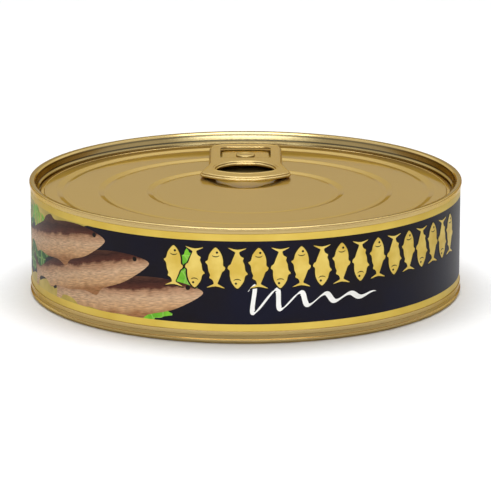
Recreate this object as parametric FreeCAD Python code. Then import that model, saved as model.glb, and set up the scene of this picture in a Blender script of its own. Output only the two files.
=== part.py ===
"""Tin of sprats: a low round fish can with an easy-open end, a pull tab and a wrapped label.

Frame: millimetres, +Z up, origin at the centre of the base. The tab points along +Y, its nose
next to the rim, so the front of the label faces -Y.

Nodes
    can_body    drawn can, shut and therefore solid, with a beaded foot and a recessed base
    lid_end     rim of the easy-open end: double seam, chuck wall, countersink, panel's edge
    tear_panel  what the tab tears out of the end along the score: stepped rings, pad, rivet
    pull_tab    curled ring-pull tab, riveted to the tear panel
    label       paper sleeve wrapped round the wall, with its glued overlap at the back
"""
import FreeCAD, Part
import math
import os

from FreeCAD import Vector

# ---------------------------------------------------------------- driving dimensions (mm)

# overall
rim_diameter = 102.4        # over the double seam
can_height = 26.9           # from the table to the seam's crest

# double seam
seam_height = 1.45          # crest to the seam's lower edge
seam_thickness = 1.15       # outer face to inner face at the crest
seam_round = 0.45           # radius of the crest's two shoulders
seam_curl = 0.70            # height of the bulged top of the seam
seam_bulge = 0.10           # how far that top stands out past the seam's face

# wall, foot and base
body_inset = 0.40           # wall inside the seam's widest radius
foot_height = 2.95          # plain metal below the label
foot_bead = 1.75            # height of the bulged lower part of the foot
foot_round = 1.20           # outer corner at the table
foot_flat = 1.60            # width of the flat ring that the can stands on
base_ramp = 1.10            # width of the ramp from that ring up to the base panel
base_rise = 0.70            # first level of the base panel above the table
base_step = 0.30            # further rise at each ring of the base panel
base_step_width = 1.20
base_ring_insets = (9.0, 25.0)   # rings of the base panel, in from its edge

# easy-open end, depths measured down from the seam's crest
wall_break = 0.95           # depth where the steep inner wall leaves the seam
wall_lean = 0.30            # how far the wall has come in at that depth
wall_depth = 1.95           # depth of the chuck wall's foot
wall_foot_lean = 0.65       # how far the wall has come in at its foot
shoulder_width = 0.42       # sloping shoulder between the wall and the countersink
shoulder_drop = 0.35
groove_width = 0.50         # countersink groove
groove_depth = 0.40         # below the panel
panel_depth = 2.80
panel_edge_round = 0.15
score_inset = 0.80          # tear line, in from the panel's edge
score_width = 0.20
score_depth = 0.08
ring_insets = (3.75, 13.55, 25.05)   # stepped rings, in from the panel's edge
ring_drop = 0.28            # each ring steps the panel down by this
ring_dip = 0.10             # extra hollow at the foot of each step
ring_ramp = 1.40            # width of the step's slope
ring_lift = 1.00            # width of the gentle rise out of the hollow
fill_depth = 5.00           # depth of the flat joint between the end and the shut can; the top
                            # of the can's wall is rolled into the seam, so it goes with the end

# pull tab, seen from above; its nose points to the rim
tab_nose_gap = 4.35         # from the panel's edge to the tab's nose
tab_length = 35.1
tab_width = 21.8            # across the finger ring
tab_neck_width = 17.9       # across the riveted half
tab_nose_round = 3.8
tab_nose_bow = 0.80         # rise of the nose from its corners to its middle
tab_nose_bow_round = 45.0
tab_flare_from_lip = 7.0    # start and end of the flare between ring and neck
tab_flare_length = 7.5
tab_flare_round = 7.0
tab_lip_round = 14.2
tab_lip_angle = 42.0        # turn of the lip on each side of its middle
tab_lip_corner = 1.8
tab_depth = 1.10            # height of the curled edge
tab_sheet = 0.30            # thickness of the tab's top sheet
tab_curl_step = 0.35        # the curl stands out this far past the top sheet's edge
tab_curl_height = 0.66      # height of the curl below that step
tab_curl_width = 1.15       # width of the curled edge seen from below
tab_tilt = 0.9              # degrees, ring end lower
tab_seat_gap = 0.12         # curl above the panel's outer zone, at the rivet

# finger hole
hole_width = 13.9
hole_from_lip = 5.15        # lip to the hole's front edge
hole_bridge = 4.25          # sheet left between the hole and the tongue's root
hole_front_round = 8.6
hole_front_angle = 30.0     # turn of the front edge on each side of its middle
hole_corner = 2.6
hole_rear_round = 6.8

# tongue and rivet
tongue_width = 12.4         # outside the slot
tongue_slot = 0.45
tongue_from_nose = 3.7      # nose to the slot's far side
tongue_length = 10.7
tongue_round = 1.8
tongue_ramp = 1.6           # length of the slope from the sheet down to the riveted flat
rivet_from_nose = 9.3
rivet_shank = 1.60          # radius
rivet_head = 2.35           # radius
rivet_head_height = 0.36
rivet_clearance = 0.06      # shank in the tongue, and head above it
tongue_clearance = 0.12     # tongue above its pad

# pad under the rivet and finger well under the ring
pad_width = 16.0
pad_length = 14.4
pad_from_edge = 6.4         # panel's edge to the pad's far end
pad_round = 3.0
well_half_width = 8.4
well_depth = 1.10
well_length = 22.0
well_from_edge = 22.9       # panel's edge to the well's far end

# label
label_thickness = 0.12
label_gap = 0.05            # below the seam
label_overlap = 8.0         # width of the glued overlap, along the wall

# ---------------------------------------------------------------- sizes that follow

rim_r = rim_diameter / 2
seam_face_r = rim_r - seam_bulge
body_r = rim_r - body_inset
seam_z = can_height - seam_height
fill_z = can_height - fill_depth
panel_z = can_height - panel_depth

wall_r = rim_r - seam_thickness
shoulder_r = wall_r - wall_foot_lean
groove_r = shoulder_r - shoulder_width
panel_r = groove_r - groove_width
score_r = panel_r - score_inset
pad_z = panel_z - ring_drop
centre_z = panel_z - ring_drop * len(ring_insets)

tab_nose_y = panel_r - tab_nose_gap
tab_lip_y = tab_nose_y - tab_length
tab_top_z = pad_z + tab_seat_gap + tab_depth
hole_length = tab_length - hole_from_lip - hole_bridge - tongue_length - tongue_from_nose
tongue_bottom_z = pad_z + tongue_clearance
rivet_y = tab_nose_y - rivet_from_nose

UP = Vector(0, 0, 1)
ORIGIN = Vector(0, 0, 0)


# ---------------------------------------------------------------- small geometry helpers

def tangent_path(corners, place):
    """Lines through the corners (u, v, radius), each corner turned by a tangent arc of its radius."""
    points = [Vector(u, v, 0) for u, v, _ in corners]
    edges = []
    start = points[0]
    for before, corner, after, (_, _, radius) in zip(points, points[1:], points[2:], corners[1:]):
        into = (corner - before).normalize()
        out = (after - corner).normalize()
        turn = into.getAngle(out)
        if radius <= 0 or turn < 1e-4:
            edges.append((start, corner))
            start = corner
            continue
        reach = radius * math.tan(turn / 2)
        first = corner - into * reach
        last = corner + out * reach
        inward = (out - into).normalize()
        centre = corner + inward * (radius / math.cos(turn / 2))
        middle = centre - inward * radius
        if (first - start).Length > 1e-6:
            edges.append((start, first))
        edges.append((first, middle, last))
        start = last
    edges.append((start, points[-1]))
    shapes = []
    for edge in edges:
        at = [place(p.x, p.y) for p in edge]
        curve = Part.LineSegment(*at) if len(at) == 2 else Part.Arc(*at)
        shapes.append(curve.toShape())
    return shapes


def turned(corners):
    """Solid of revolution about Z from a closed list of (radius, height, fillet) corners."""
    loop = list(corners) + [corners[0]]
    wire = Part.Wire(tangent_path(loop, lambda r, z: Vector(r, 0, z)))
    return Part.Face(wire).revolve(ORIGIN, UP, 360)


def plan_loop(corners):
    """Closed plan wire of lines and tangent arcs through (x, y, radius) corners."""
    first, last = corners[0], corners[-1]
    start = ((first[0] + last[0]) / 2, (first[1] + last[1]) / 2, 0)
    return Part.Wire(tangent_path([start] + list(corners) + [start], lambda x, y: Vector(x, y, 0)))


def both_sides(right):
    """Corners of a plan that is symmetric about the Y axis, from those on its right and middle."""
    left = [(-x, y, radius) for x, y, radius in reversed(right) if x > 0]
    return list(right) + left


def slab(wire, low, high):
    """Plate between two heights with the outline of a plan wire."""
    face = Part.Face(wire)
    face.translate(Vector(0, 0, low))
    return face.extrude(Vector(0, 0, high - low))


def level_edges(solid, height):
    """Edges of a solid that lie in the plane at a height."""
    return [e for e in solid.Edges if e.BoundBox.ZLength < 1e-6 and abs(e.Vertexes[0].Z - height) < 1e-6]


def rounded_box(width, y_low, y_high, z_low, z_high, radius):
    """Plate across the Y axis with rounded upright corners."""
    half = width / 2
    return slab(plan_loop(both_sides([(half, y_high, radius), (half, y_low, radius)])), z_low, z_high)


# ---------------------------------------------------------------- can body

def make_can_body():
    """Drawn can with its filling: foot band and bead, recessed base with two stepped rings."""
    foot_in = rim_r - foot_round - foot_flat
    base_edge = foot_in - base_ramp
    underside = [(0, base_rise + base_step * len(base_ring_insets), 0)]
    for number in range(len(base_ring_insets), 0, -1):
        ring_r = base_edge - base_ring_insets[number - 1]
        high = base_rise + base_step * number
        underside.append((ring_r - base_step_width / 2, high, 1.2))
        underside.append((ring_r + base_step_width / 2, high - base_step, 1.2))
    underside += [(base_edge, base_rise, 0.5), (foot_in, 0, 0.4)]
    side = [
        (rim_r, 0, foot_round),
        (rim_r, foot_bead, 0.10),
        (seam_face_r, foot_bead + seam_bulge, 0.10),
        (seam_face_r, foot_height, 0.08),
        (body_r, foot_height, 0),
        (body_r, fill_z, 0),
        (0, fill_z, 0),
    ]
    return turned(underside + side)


# ---------------------------------------------------------------- easy-open end

def panel_steps():
    """Corners of the panel's stepped rings, from the edge towards the centre."""
    corners = []
    level = panel_z
    for inset in ring_insets:
        top_r = panel_r - inset
        foot_r = top_r - ring_ramp
        low = level - ring_drop
        corners += [(top_r, level, 1.3), (foot_r, low - ring_dip, 0.9), (foot_r - ring_lift, low, 1.8)]
        level = low
    return corners


def make_rivet():
    """Rivet drawn up from the panel, its shank through the tongue and its head spread over it."""
    head_z = tongue_bottom_z + tab_sheet + rivet_clearance
    shank = Part.makeCylinder(rivet_shank, head_z - pad_z + 1, Vector(0, rivet_y, pad_z - 1))
    head = Part.makeCylinder(rivet_head, rivet_head_height, Vector(0, rivet_y, head_z))
    top = level_edges(head, head_z + rivet_head_height)
    return shank.fuse(head.makeFillet(rivet_head_height * 0.8, top))


def make_finger_well():
    """Shallow trough under the tab's ring: a flat cap drawn out along Y."""
    ball_r = (well_half_width ** 2 + well_depth ** 2) / (2 * well_depth)
    far_y = panel_r - well_from_edge - well_half_width
    near_y = far_y - (well_length - 2 * well_half_width)
    axis_z = centre_z - well_depth + ball_r
    trough = Part.makeCylinder(ball_r, far_y - near_y, Vector(0, near_y, axis_z), Vector(0, 1, 0))
    for y in (near_y, far_y):
        trough = trough.fuse(Part.makeSphere(ball_r, Vector(0, y, axis_z)))
    lane = Part.makeBox(2 * well_half_width + 2, well_length + 2, 2 * well_depth + 0.6,
                        Vector(-well_half_width - 1, near_y - well_half_width - 1,
                               centre_z - 2 * well_depth))
    return trough.removeSplitter().common(lane)


def make_lid_end():
    """Rim of the end, from the double seam down to the score line round the tear panel."""
    groove_z = panel_z - groove_depth
    return turned([
        (score_r, fill_z, 0),
        (body_r, fill_z, 0),
        (body_r, seam_z, 0),
        (seam_face_r, seam_z, 0.15),
        (seam_face_r, can_height - seam_curl - seam_bulge, 0.10),
        (rim_r, can_height - seam_curl, 0.10),
        (rim_r, can_height, seam_round),
        (wall_r, can_height, seam_round),
        (wall_r - wall_lean, can_height - wall_break, 0.60),
        (shoulder_r, can_height - wall_depth, 0.20),
        (groove_r, can_height - wall_depth - shoulder_drop, 0.12),
        (groove_r - groove_width * 0.25, groove_z, 0.08),
        (panel_r + groove_width * 0.25, groove_z, 0.08),
        (panel_r, panel_z, panel_edge_round),
        (score_r + score_width / 2, panel_z, 0),
        (score_r, panel_z - score_depth, 0),
    ])


def make_tear_panel():
    """Tear panel, parted from the rim at the bottom of the score, with its pad, well and rivet."""
    form = [
        (0, fill_z, 0),
        (score_r, fill_z, 0),
        (score_r, panel_z - score_depth, 0),
        (score_r - score_width / 2, panel_z, 0),
    ]
    panel = turned(form + panel_steps() + [(0, centre_z, 0)])
    pad_far = panel_r - pad_from_edge
    pad = rounded_box(pad_width, pad_far - pad_length, pad_far, centre_z - 0.5, pad_z, pad_round)
    return panel.fuse(pad).cut(make_finger_well()).fuse(make_rivet()).removeSplitter()


# ---------------------------------------------------------------- pull tab

def tab_outline(inset):
    """Plan of the tab, drawn in by an inset: bowed nose, straight neck, flared ring, bowed lip."""
    neck_x = tab_neck_width / 2
    ring_x = tab_width / 2
    flare_y = tab_lip_y + tab_flare_from_lip
    lip_turn = math.radians(tab_lip_angle)
    lip_apex_y = tab_lip_y - tab_lip_round * (1 / math.cos(lip_turn) - 1)
    nose_turn = math.atan2(tab_nose_bow, neck_x)
    nose_apex_y = tab_nose_y + tab_nose_bow_round * (1 / math.cos(nose_turn) - 1)
    corners = both_sides([
        (0, nose_apex_y, tab_nose_bow_round),
        (neck_x, nose_apex_y - tab_nose_bow, tab_nose_round),
        (neck_x, flare_y + tab_flare_length, tab_flare_round),
        (ring_x, flare_y, tab_flare_round),
        (ring_x, lip_apex_y + ring_x * math.tan(lip_turn), tab_lip_corner),
        (0, lip_apex_y, tab_lip_round),
    ])
    outline = plan_loop(corners)
    return outline if inset == 0 else outline.makeOffset2D(-inset)


def hole_outline(outset):
    """Plan of the finger hole, opened out by an outset: round at the rear, flatter at the lip."""
    front_y = tab_lip_y + hole_from_lip
    half = hole_width / 2
    turn = math.radians(hole_front_angle)
    apex_y = front_y - hole_front_round * (1 / math.cos(turn) - 1)
    corner_y = apex_y + half * math.tan(turn)
    side = front_y + hole_length - corner_y - hole_corner * math.tan(math.radians(45) - turn / 2)
    corners = both_sides([
        (half, front_y + hole_length, min(hole_rear_round, 0.98 * side)),
        (half, corner_y, hole_corner),
        (0, apex_y, hole_front_round),
    ])
    outline = plan_loop(corners)
    return outline if outset == 0 else outline.makeOffset2D(outset)


def curled_plate(low, high, inset, rounds):
    """One layer of the tab between two heights, its outer and finger-hole edges rounded over."""
    layer = slab(tab_outline(inset), low, high)
    layer = layer.cut(slab(hole_outline(inset), low - 1, high + 1))
    for height, radius in rounds:
        layer = layer.makeFillet(radius, level_edges(layer, height))
    return layer


def make_tongue():
    """Riveted tongue: slopes down from the sheet at its root, then lies flat on the pad."""
    root_y = tab_nose_y - tongue_from_nose - tongue_length
    tip_y = tab_nose_y - tongue_from_nose - tongue_slot
    half = tongue_width / 2 - tongue_slot
    flat_z = tongue_bottom_z + tab_sheet
    top = tab_top_z
    side = [
        (root_y - 1, top), (root_y, top), (root_y + tongue_ramp, flat_z), (tip_y, flat_z),
        (tip_y, flat_z - tab_sheet), (root_y + tongue_ramp, flat_z - tab_sheet),
        (root_y, top - tab_sheet), (root_y - 1, top - tab_sheet),
    ]
    wire = Part.makePolygon([Vector(-half, y, z) for y, z in side + side[:1]])
    strip = Part.Face(wire).extrude(Vector(2 * half, 0, 0))
    tip = rounded_box(2 * half, root_y - 4, tip_y, centre_z - 1, top + 1, tongue_round)
    bore = Part.makeCylinder(rivet_shank + rivet_clearance, 10, Vector(0, rivet_y, flat_z - 5))
    return strip.common(tip).cut(bore)


def make_pull_tab():
    """Ring-pull tab: top sheet and curled edge, hollow underneath, with the tongue cut free."""
    top = tab_top_z
    bottom = top - tab_depth
    step = bottom + tab_curl_height
    sheet = curled_plate(step - 0.1, top, tab_curl_step, [(top, 0.26)])
    curl = curled_plate(bottom, step, 0, [(step, 0.30), (bottom, 0.30)])
    tab = sheet.fuse(curl)
    hollow = slab(tab_outline(tab_curl_width), bottom - 1, top - tab_sheet)
    hollow = hollow.cut(slab(hole_outline(tab_curl_width), bottom - 2, top))
    tab = tab.cut(hollow)
    slot_far = tab_nose_y - tongue_from_nose
    slot_root = slot_far - tongue_length
    window = rounded_box(tongue_width, slot_root - 4, slot_far, bottom - 1, top + 1,
                         tongue_round + tongue_slot)
    keep = Part.makeBox(2 * tab_width, tab_length, 10,
                        Vector(-tab_width, slot_root - tab_length, bottom - 5))
    tab = tab.cut(window.cut(keep)).fuse(make_tongue()).removeSplitter()
    tab.rotate(Vector(0, rivet_y, tongue_bottom_z), Vector(1, 0, 0), tab_tilt)
    return tab


# ---------------------------------------------------------------- label

def make_label():
    """Paper sleeve between the foot band and the seam, with a glued overlap at the back."""
    low = foot_height
    height = seam_z - label_gap - foot_height
    outer_r = body_r + label_thickness
    sleeve = Part.makeCylinder(outer_r, height, Vector(0, 0, low))
    angle = math.degrees(label_overlap / outer_r)
    flap = Part.makeCylinder(outer_r + label_thickness, height, Vector(0, 0, low), UP, angle)
    flap.rotate(ORIGIN, UP, 90)
    core = Part.makeCylinder(body_r, height, Vector(0, 0, low))
    return sleeve.fuse(flap).cut(core).removeSplitter()


# ---------------------------------------------------------------- build

def main():
    os.makedirs("parts", exist_ok=True)
    nodes = {
        "can_body": make_can_body(),
        "lid_end": make_lid_end(),
        "tear_panel": make_tear_panel(),
        "pull_tab": make_pull_tab(),
        "label": make_label(),
    }
    for name, shape in nodes.items():
        solids = shape.Solids
        box = shape.BoundBox
        print(f"{name}: {len(solids)} solid, {shape.Volume / 1000:.3f} cm3, valid {shape.isValid()}, "
              f"x {box.XMin:.2f}..{box.XMax:.2f} y {box.YMin:.2f}..{box.YMax:.2f} "
              f"z {box.ZMin:.2f}..{box.ZMax:.2f}")
        shape.exportStep(f"parts/{name}.step")


main()
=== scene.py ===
# %% [markdown]
# # A round tin of sprats
# This is a low fish can, 102.4 mm across its double seam and 26.9 mm high, with a gold-lacquered
# easy-open lid, a riveted ring-pull tab and a printed paper sleeve. The solid model holds its real
# sizes, so it comes in first, and every visible piece is modelled over it in more detail: turned
# parts are sections that are spun, the tab is built from loops round its outline, and the print is
# cut from flat shapes and wrapped round the can.

# %% Load the solid model
import math

import bmesh
import bpy
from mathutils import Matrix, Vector


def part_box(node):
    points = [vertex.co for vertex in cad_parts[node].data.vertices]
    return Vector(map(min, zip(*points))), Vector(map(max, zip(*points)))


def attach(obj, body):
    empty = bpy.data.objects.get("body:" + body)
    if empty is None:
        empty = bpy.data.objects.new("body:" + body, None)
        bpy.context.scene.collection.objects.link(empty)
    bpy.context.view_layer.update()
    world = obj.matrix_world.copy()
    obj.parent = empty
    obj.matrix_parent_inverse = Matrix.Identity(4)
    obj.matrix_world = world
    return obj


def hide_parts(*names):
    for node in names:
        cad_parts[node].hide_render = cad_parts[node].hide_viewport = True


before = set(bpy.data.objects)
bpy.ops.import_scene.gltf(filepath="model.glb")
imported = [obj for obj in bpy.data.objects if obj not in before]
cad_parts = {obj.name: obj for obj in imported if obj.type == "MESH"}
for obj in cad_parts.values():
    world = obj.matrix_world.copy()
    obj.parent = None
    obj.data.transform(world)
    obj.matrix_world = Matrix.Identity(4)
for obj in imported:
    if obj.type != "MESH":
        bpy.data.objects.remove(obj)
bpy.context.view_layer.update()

MM = 0.001
rim_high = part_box("lid_end")[1] / MM
label_low, label_high = (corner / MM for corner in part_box("label"))
tab_low, tab_high = (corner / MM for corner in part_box("pull_tab"))
RIM_R, TOP = rim_high.x, rim_high.z
LABEL_R, LABEL_LOW, LABEL_TOP = label_high.x, label_low.z, label_high.z
print("rim radius", round(RIM_R, 2), "height", round(TOP, 2), "label", round(LABEL_LOW, 2),
      "to", round(LABEL_TOP, 2), "tab from y", round(tab_low.y, 2), "to", round(tab_high.y, 2))

# %% [markdown]
# ## Drawing and turning
# Every metal part of the can but the tab is round, because it's drawn and rolled in round tools.
# Stacked cylinders would leave its corners hard. Here a section is traced by extruding one vertex
# from point to point, each corner eased by an arc, and is spun about the can's axis. The arcs are
# what catch the light on real tinplate.

# %% Points of a section with eased corners
def eased(corners, arc_step, closed=False, spacing=None):
    """Points of a path through (u, v, radius) corners, each corner an arc in runs that turn at most
    arc_step degrees. A point is (u, v, outward u, outward v) if the path runs anticlockwise."""
    count = len(corners)
    points = []
    for i, (u, v, radius) in enumerate(corners):
        here = Vector((u, v))
        if not closed and i in (0, count - 1):
            points.append((here, None))
            continue
        into = (here - Vector(corners[i - 1][:2])).normalized()
        out = (Vector(corners[(i + 1) % count][:2]) - here).normalized()
        turn = math.atan2(into.cross(out), into.dot(out))
        if radius <= 0 or abs(turn) < 1e-4:
            points.append((here, None))
            continue
        side = Vector((into.y, -into.x))              # outward of the path
        start = here - into * radius * math.tan(abs(turn) / 2)
        centre = start - side * math.copysign(radius, turn)
        steps = max(2, math.ceil(math.degrees(abs(turn)) / arc_step))
        for k in range(steps + 1):
            angle = turn * k / steps
            way = Vector((side.x * math.cos(angle) - side.y * math.sin(angle),
                          side.x * math.sin(angle) + side.y * math.cos(angle)))
            points.append((centre + way * math.copysign(radius, turn), way))
    path = []
    for i, (point, way) in enumerate(points):
        run = points[(i + 1) % len(points)][0] - point
        flat = Vector((run.y, -run.x)).normalized()
        way = way or flat
        path.append((point.x, point.y, way.x, way.y))
        last = not closed and i == len(points) - 1
        if spacing and not last and run.length > 1.5 * spacing:
            parts = math.ceil(run.length / spacing)
            for k in range(1, parts):
                stop = point + run * k / parts
                path.append((stop.x, stop.y, flat.x, flat.y))
    return path


# %% Trace a section and spin it
def only(*objects):
    """Selects these objects and nothing else, and makes the first one active."""
    bpy.ops.object.select_all(action="DESELECT")
    for obj in objects:
        obj.select_set(True)
    bpy.context.view_layer.objects.active = objects[0]


def named(name):
    """Names the active object and its mesh."""
    obj = bpy.context.object
    obj.name = obj.data.name = name
    return obj


def traced(name, points, closed=False):
    """A line of edges in the XZ plane, extruded from point to point; points are in millimetres."""
    bpy.ops.mesh.primitive_plane_add(size=MM)
    obj = named(name)
    bpy.ops.object.mode_set(mode="EDIT")
    bpy.ops.mesh.merge(type="CENTER")
    here = Vector((0, 0, 0))
    for i, point in enumerate(points):
        there = Vector((point[0], 0, point[1])) * MM
        if i == 0:
            bpy.ops.transform.translate(value=there - here)
        else:
            bpy.ops.mesh.extrude_region_move(TRANSFORM_OT_translate={"value": there - here})
        here = there
    if closed:
        mesh = bmesh.from_edit_mesh(obj.data)
        for vert in mesh.verts:
            vert.select = len(vert.link_edges) == 1
        mesh.select_flush_mode()
        bmesh.update_edit_mesh(obj.data)
        bpy.ops.mesh.edge_face_add()
    return obj


def finished(obj, crease=35):
    """Merges doubles, turns the faces outwards and smooths all edges flatter than the crease."""
    if obj.mode != "EDIT":
        only(obj)
        bpy.ops.object.mode_set(mode="EDIT")
    bpy.ops.mesh.select_all(action="SELECT")
    bpy.ops.mesh.remove_doubles(threshold=0.0005 * MM)
    bpy.ops.mesh.normals_make_consistent(inside=False)
    bpy.ops.object.mode_set(mode="OBJECT")
    bpy.ops.object.shade_smooth_by_angle(angle=math.radians(crease))
    print(obj.name, len(obj.data.polygons), "faces",
          [round(d / MM, 2) for d in obj.dimensions], "mm")
    return obj


def turned(name, points, steps, closed=False, axis_at=(0, 0), crease=35):
    """Spins a traced section once round a vertical axis."""
    obj = traced(name, points, closed)
    bpy.ops.mesh.select_all(action="SELECT")
    bpy.ops.mesh.spin(steps=steps, angle=math.tau, axis=(0, 0, 1),
                      center=(axis_at[0] * MM, axis_at[1] * MM, 0))
    return finished(obj, crease)


# %% [markdown]
# ## The can's body
# The can is drawn from one disc of tinplate. What shows of it is the foot below the label: a plain
# band with a small bead at the table. The base is pressed up in two steps, so that the can stands
# on a narrow ring and the base can flex. The section follows the solid model up behind the label
# and closes under the lid.

# %% Turn the can's body
FOOT_TOP = LABEL_LOW - 0.02              # plain metal below the label
BODY_R = RIM_R - 0.40                    # wall behind the label
BAND_R = RIM_R - 0.10                    # plain band above the bead
BEAD_TOP = 1.75
JOINT = 21.90                            # flat joint under the lid
BASE_LEVELS = (0.70, 1.00, 1.30)         # of the base panel above the table, rim to centre
BASE_RINGS = (38.9, 22.9)                # where it steps from one level to the next
STEP_WIDE, STEP_ROUND = 1.2, 1.2

body_corners = [
    (0, BASE_LEVELS[2], 0), (BASE_RINGS[1] - STEP_WIDE, BASE_LEVELS[2], STEP_ROUND),
    (BASE_RINGS[1], BASE_LEVELS[1], STEP_ROUND),
    (BASE_RINGS[0] - STEP_WIDE, BASE_LEVELS[1], STEP_ROUND),
    (BASE_RINGS[0], BASE_LEVELS[0], STEP_ROUND), (47.3, BASE_LEVELS[0], 0.5), (48.4, 0.00, 0.4),
    (RIM_R - 0.45, 0.00, 0.30), (RIM_R, 0.50, 0.25), (RIM_R, 0.92, 0.09),
    (BAND_R - 0.19, 1.085, 0.08), (BAND_R - 0.09, BEAD_TOP + 0.12, 0.10),
    (BAND_R, BEAD_TOP + 0.24, 0.08), (BAND_R, FOOT_TOP, 0.10), (BODY_R, FOOT_TOP, 0),
    (BODY_R, JOINT, 0), (0, JOINT, 0),
]
can_body = turned("can_body_tinplate", eased(body_corners, 10), steps=384)

# %% [markdown]
# ## The lid's rim
# The lid is curled over the can's edge and rolled flat in two passes, which makes the double seam.
# Inside it the chuck wall drops steeply, eases into a sloping shoulder and ends in the countersink,
# a narrow groove that stiffens the lid. The tear panel starts just inside. The section is closed,
# so the spun rim is a solid ring.

# %% Turn the rim
WALL_R = RIM_R - 1.15                    # inner face of the seam at its crest
SHOULDER_R = WALL_R - 0.65               # foot of the chuck wall
GROOVE_R = SHOULDER_R - 0.42             # outer side of the countersink
PANEL_R = GROOVE_R - 0.50
PANEL_Z = TOP - 2.80
SCORE_R = PANEL_R - 0.80                 # line along which the panel tears out
SEAM_LOW = TOP - 1.45

rim_corners = [
    (SCORE_R, JOINT, 0), (BODY_R, JOINT, 0), (BODY_R, SEAM_LOW, 0), (BAND_R, SEAM_LOW, 0.15),
    (BAND_R, TOP - 0.80, 0.12), (RIM_R, TOP - 0.68, 0.12), (RIM_R, TOP - 0.09, 0.34),
    (WALL_R + 0.72, TOP, 0.30), (WALL_R, TOP - 0.12, 0.12), (WALL_R - 0.30, TOP - 0.47, 0.12),
    (WALL_R - 0.41, TOP - 0.95, 0.60), (SHOULDER_R - 0.02, TOP - 2.10, 0.14),
    (GROOVE_R - 0.02, TOP - 2.46, 0.12),
    (GROOVE_R - 0.125, PANEL_Z - 0.40, 0.08), (PANEL_R + 0.125, PANEL_Z - 0.40, 0.08),
    (PANEL_R, PANEL_Z, 0.15), (SCORE_R + 0.10, PANEL_Z, 0.04), (SCORE_R, PANEL_Z - 0.08, 0),
]
rim = turned("lid_rim_double_seam", eased(rim_corners, 7, closed=True), steps=512, closed=True)

# %% [markdown]
# ## The tear panel
# Three steps are pressed into the panel, each a little lower than the one outside it, so that the
# thin sheet doesn't bow. Two more shapes aren't round: the pad that carries the rivet, and the
# trough that lets a fingertip in under the tab's ring. So the panel is turned with close loops, and
# the pad and the trough are then pressed in by moving its points, as the press does.

# %% Section of the panel
RING_INSETS = (25.05, 13.55, 3.75)       # from the panel's edge
RING_DROP, RING_DIP, RING_RAMP, RING_LIFT = 0.28, 0.10, 1.40, 1.00
PAD_Z = PANEL_Z - RING_DROP
CENTRE_Z = PANEL_Z - 3 * RING_DROP

panel_corners = [(SCORE_R - 0.10, PANEL_Z, 0.04), (SCORE_R, PANEL_Z - 0.08, 0)]
for number, inset in enumerate(RING_INSETS):
    high = PANEL_Z - RING_DROP * (2 - number)
    low = high - RING_DROP
    ring_r = PANEL_R - inset
    panel_corners[number * 3:number * 3] = [
        (ring_r - RING_RAMP - RING_LIFT, low, 1.8), (ring_r - RING_RAMP, low - RING_DIP, 0.9),
        (ring_r, high, 1.3)]
panel_section = eased([(0, CENTRE_Z, 0)] + panel_corners, 1.5, spacing=0.55)
panel_section += [(SCORE_R, JOINT), (0, JOINT)]
print(len(panel_section), "points across the panel")

# %% Press the pad and the finger trough
PAD_HALF, PAD_ROUND = (8.0, 7.2), 3.0
PAD_AT_Y = PANEL_R - 6.4 - PAD_HALF[1]
WELL_HALF, WELL_DEPTH, WELL_NEAR_Y, WELL_FAR_Y = 8.4, 1.05, 11.98, 20.0
NOSE_Y = PANEL_R - 4.35                  # the tab's end next to the rim
RIVET_Y = NOSE_Y - 9.3


def smooth_step(low, high, value):
    """Runs gently from 0 at low to 1 at high."""
    t = min(1.0, max(0.0, (value - low) / (high - low)))
    return t * t * (3 - 2 * t)


def pressed(x, y, z):
    """Height of the panel after the trough and the pad are pressed into it."""
    along = max(0.0, WELL_NEAR_Y - y, y - WELL_FAR_Y)
    from_well = math.hypot(x, along) / WELL_HALF
    if from_well < 1.12:
        z -= WELL_DEPTH * (1 - smooth_step(0.42, 1.12, from_well))
    out_x = max(0.0, abs(x) - PAD_HALF[0] + PAD_ROUND)
    out_y = max(0.0, abs(y - PAD_AT_Y) - PAD_HALF[1] + PAD_ROUND)
    on_pad = 1 - smooth_step(-0.7, 0.5, math.hypot(out_x, out_y) - PAD_ROUND)
    return z + (PAD_Z - z) * on_pad


panel = turned("tear_panel_stepped", panel_section, steps=288, crease=40)
for vert in panel.data.vertices:
    x, y, z = vert.co / MM
    if z > JOINT + 1:
        vert.co.z = pressed(x, y, z) * MM
print("panel heights", round(max(v.co.z for v in panel.data.vertices) / MM, 2))

# %% [markdown]
# ## The ring-pull tab
# The tab is stamped from thicker tinplate and its edges, outside and round the finger hole, are
# curled under, so nothing sharp is left. From the side the curl shows two beads, one above the
# other. A tongue cut free on three sides slopes down to the lid, where the rivet holds it. A solid
# with rounded edges would lose the beads, so a circle of points is put on the outline and extruded
# loop by loop through the section of the curl. The flat sheet between the loops is filled last.
# The whole tab leans a little, with its ring low.

# %% Carry a section round an outline
def banded(name, loops):
    """A skin through closed loops of equal count: each loop is extruded and put in its place."""
    bpy.ops.mesh.primitive_circle_add(vertices=len(loops[0]), radius=MM, fill_type="NOTHING")
    obj = named(name)
    bpy.ops.object.mode_set(mode="EDIT")
    for number, loop in enumerate(loops):
        if number:
            bpy.ops.mesh.extrude_edges_move()
        mesh = bmesh.from_edit_mesh(obj.data)
        picked = [vert for vert in mesh.verts if vert.select]
        for vert, point in zip(picked, loop):
            vert.co = Vector(point) * MM
        bmesh.update_edit_mesh(obj.data)
    bpy.ops.object.mode_set(mode="OBJECT")
    return obj


def filled(obj, test):
    """Fills the flat area between the open loops whose points pass a test on x, y, z."""
    only(obj)
    bpy.ops.object.mode_set(mode="EDIT")
    bpy.ops.mesh.select_all(action="DESELECT")
    mesh = bmesh.from_edit_mesh(obj.data)
    for edge in mesh.edges:
        if edge.is_boundary and all(test(*(v.co / MM)) for v in edge.verts):
            edge.select = True
    bmesh.update_edit_mesh(obj.data)
    bpy.ops.mesh.fill(use_beauty=True)
    bpy.ops.object.mode_set(mode="OBJECT")


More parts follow.
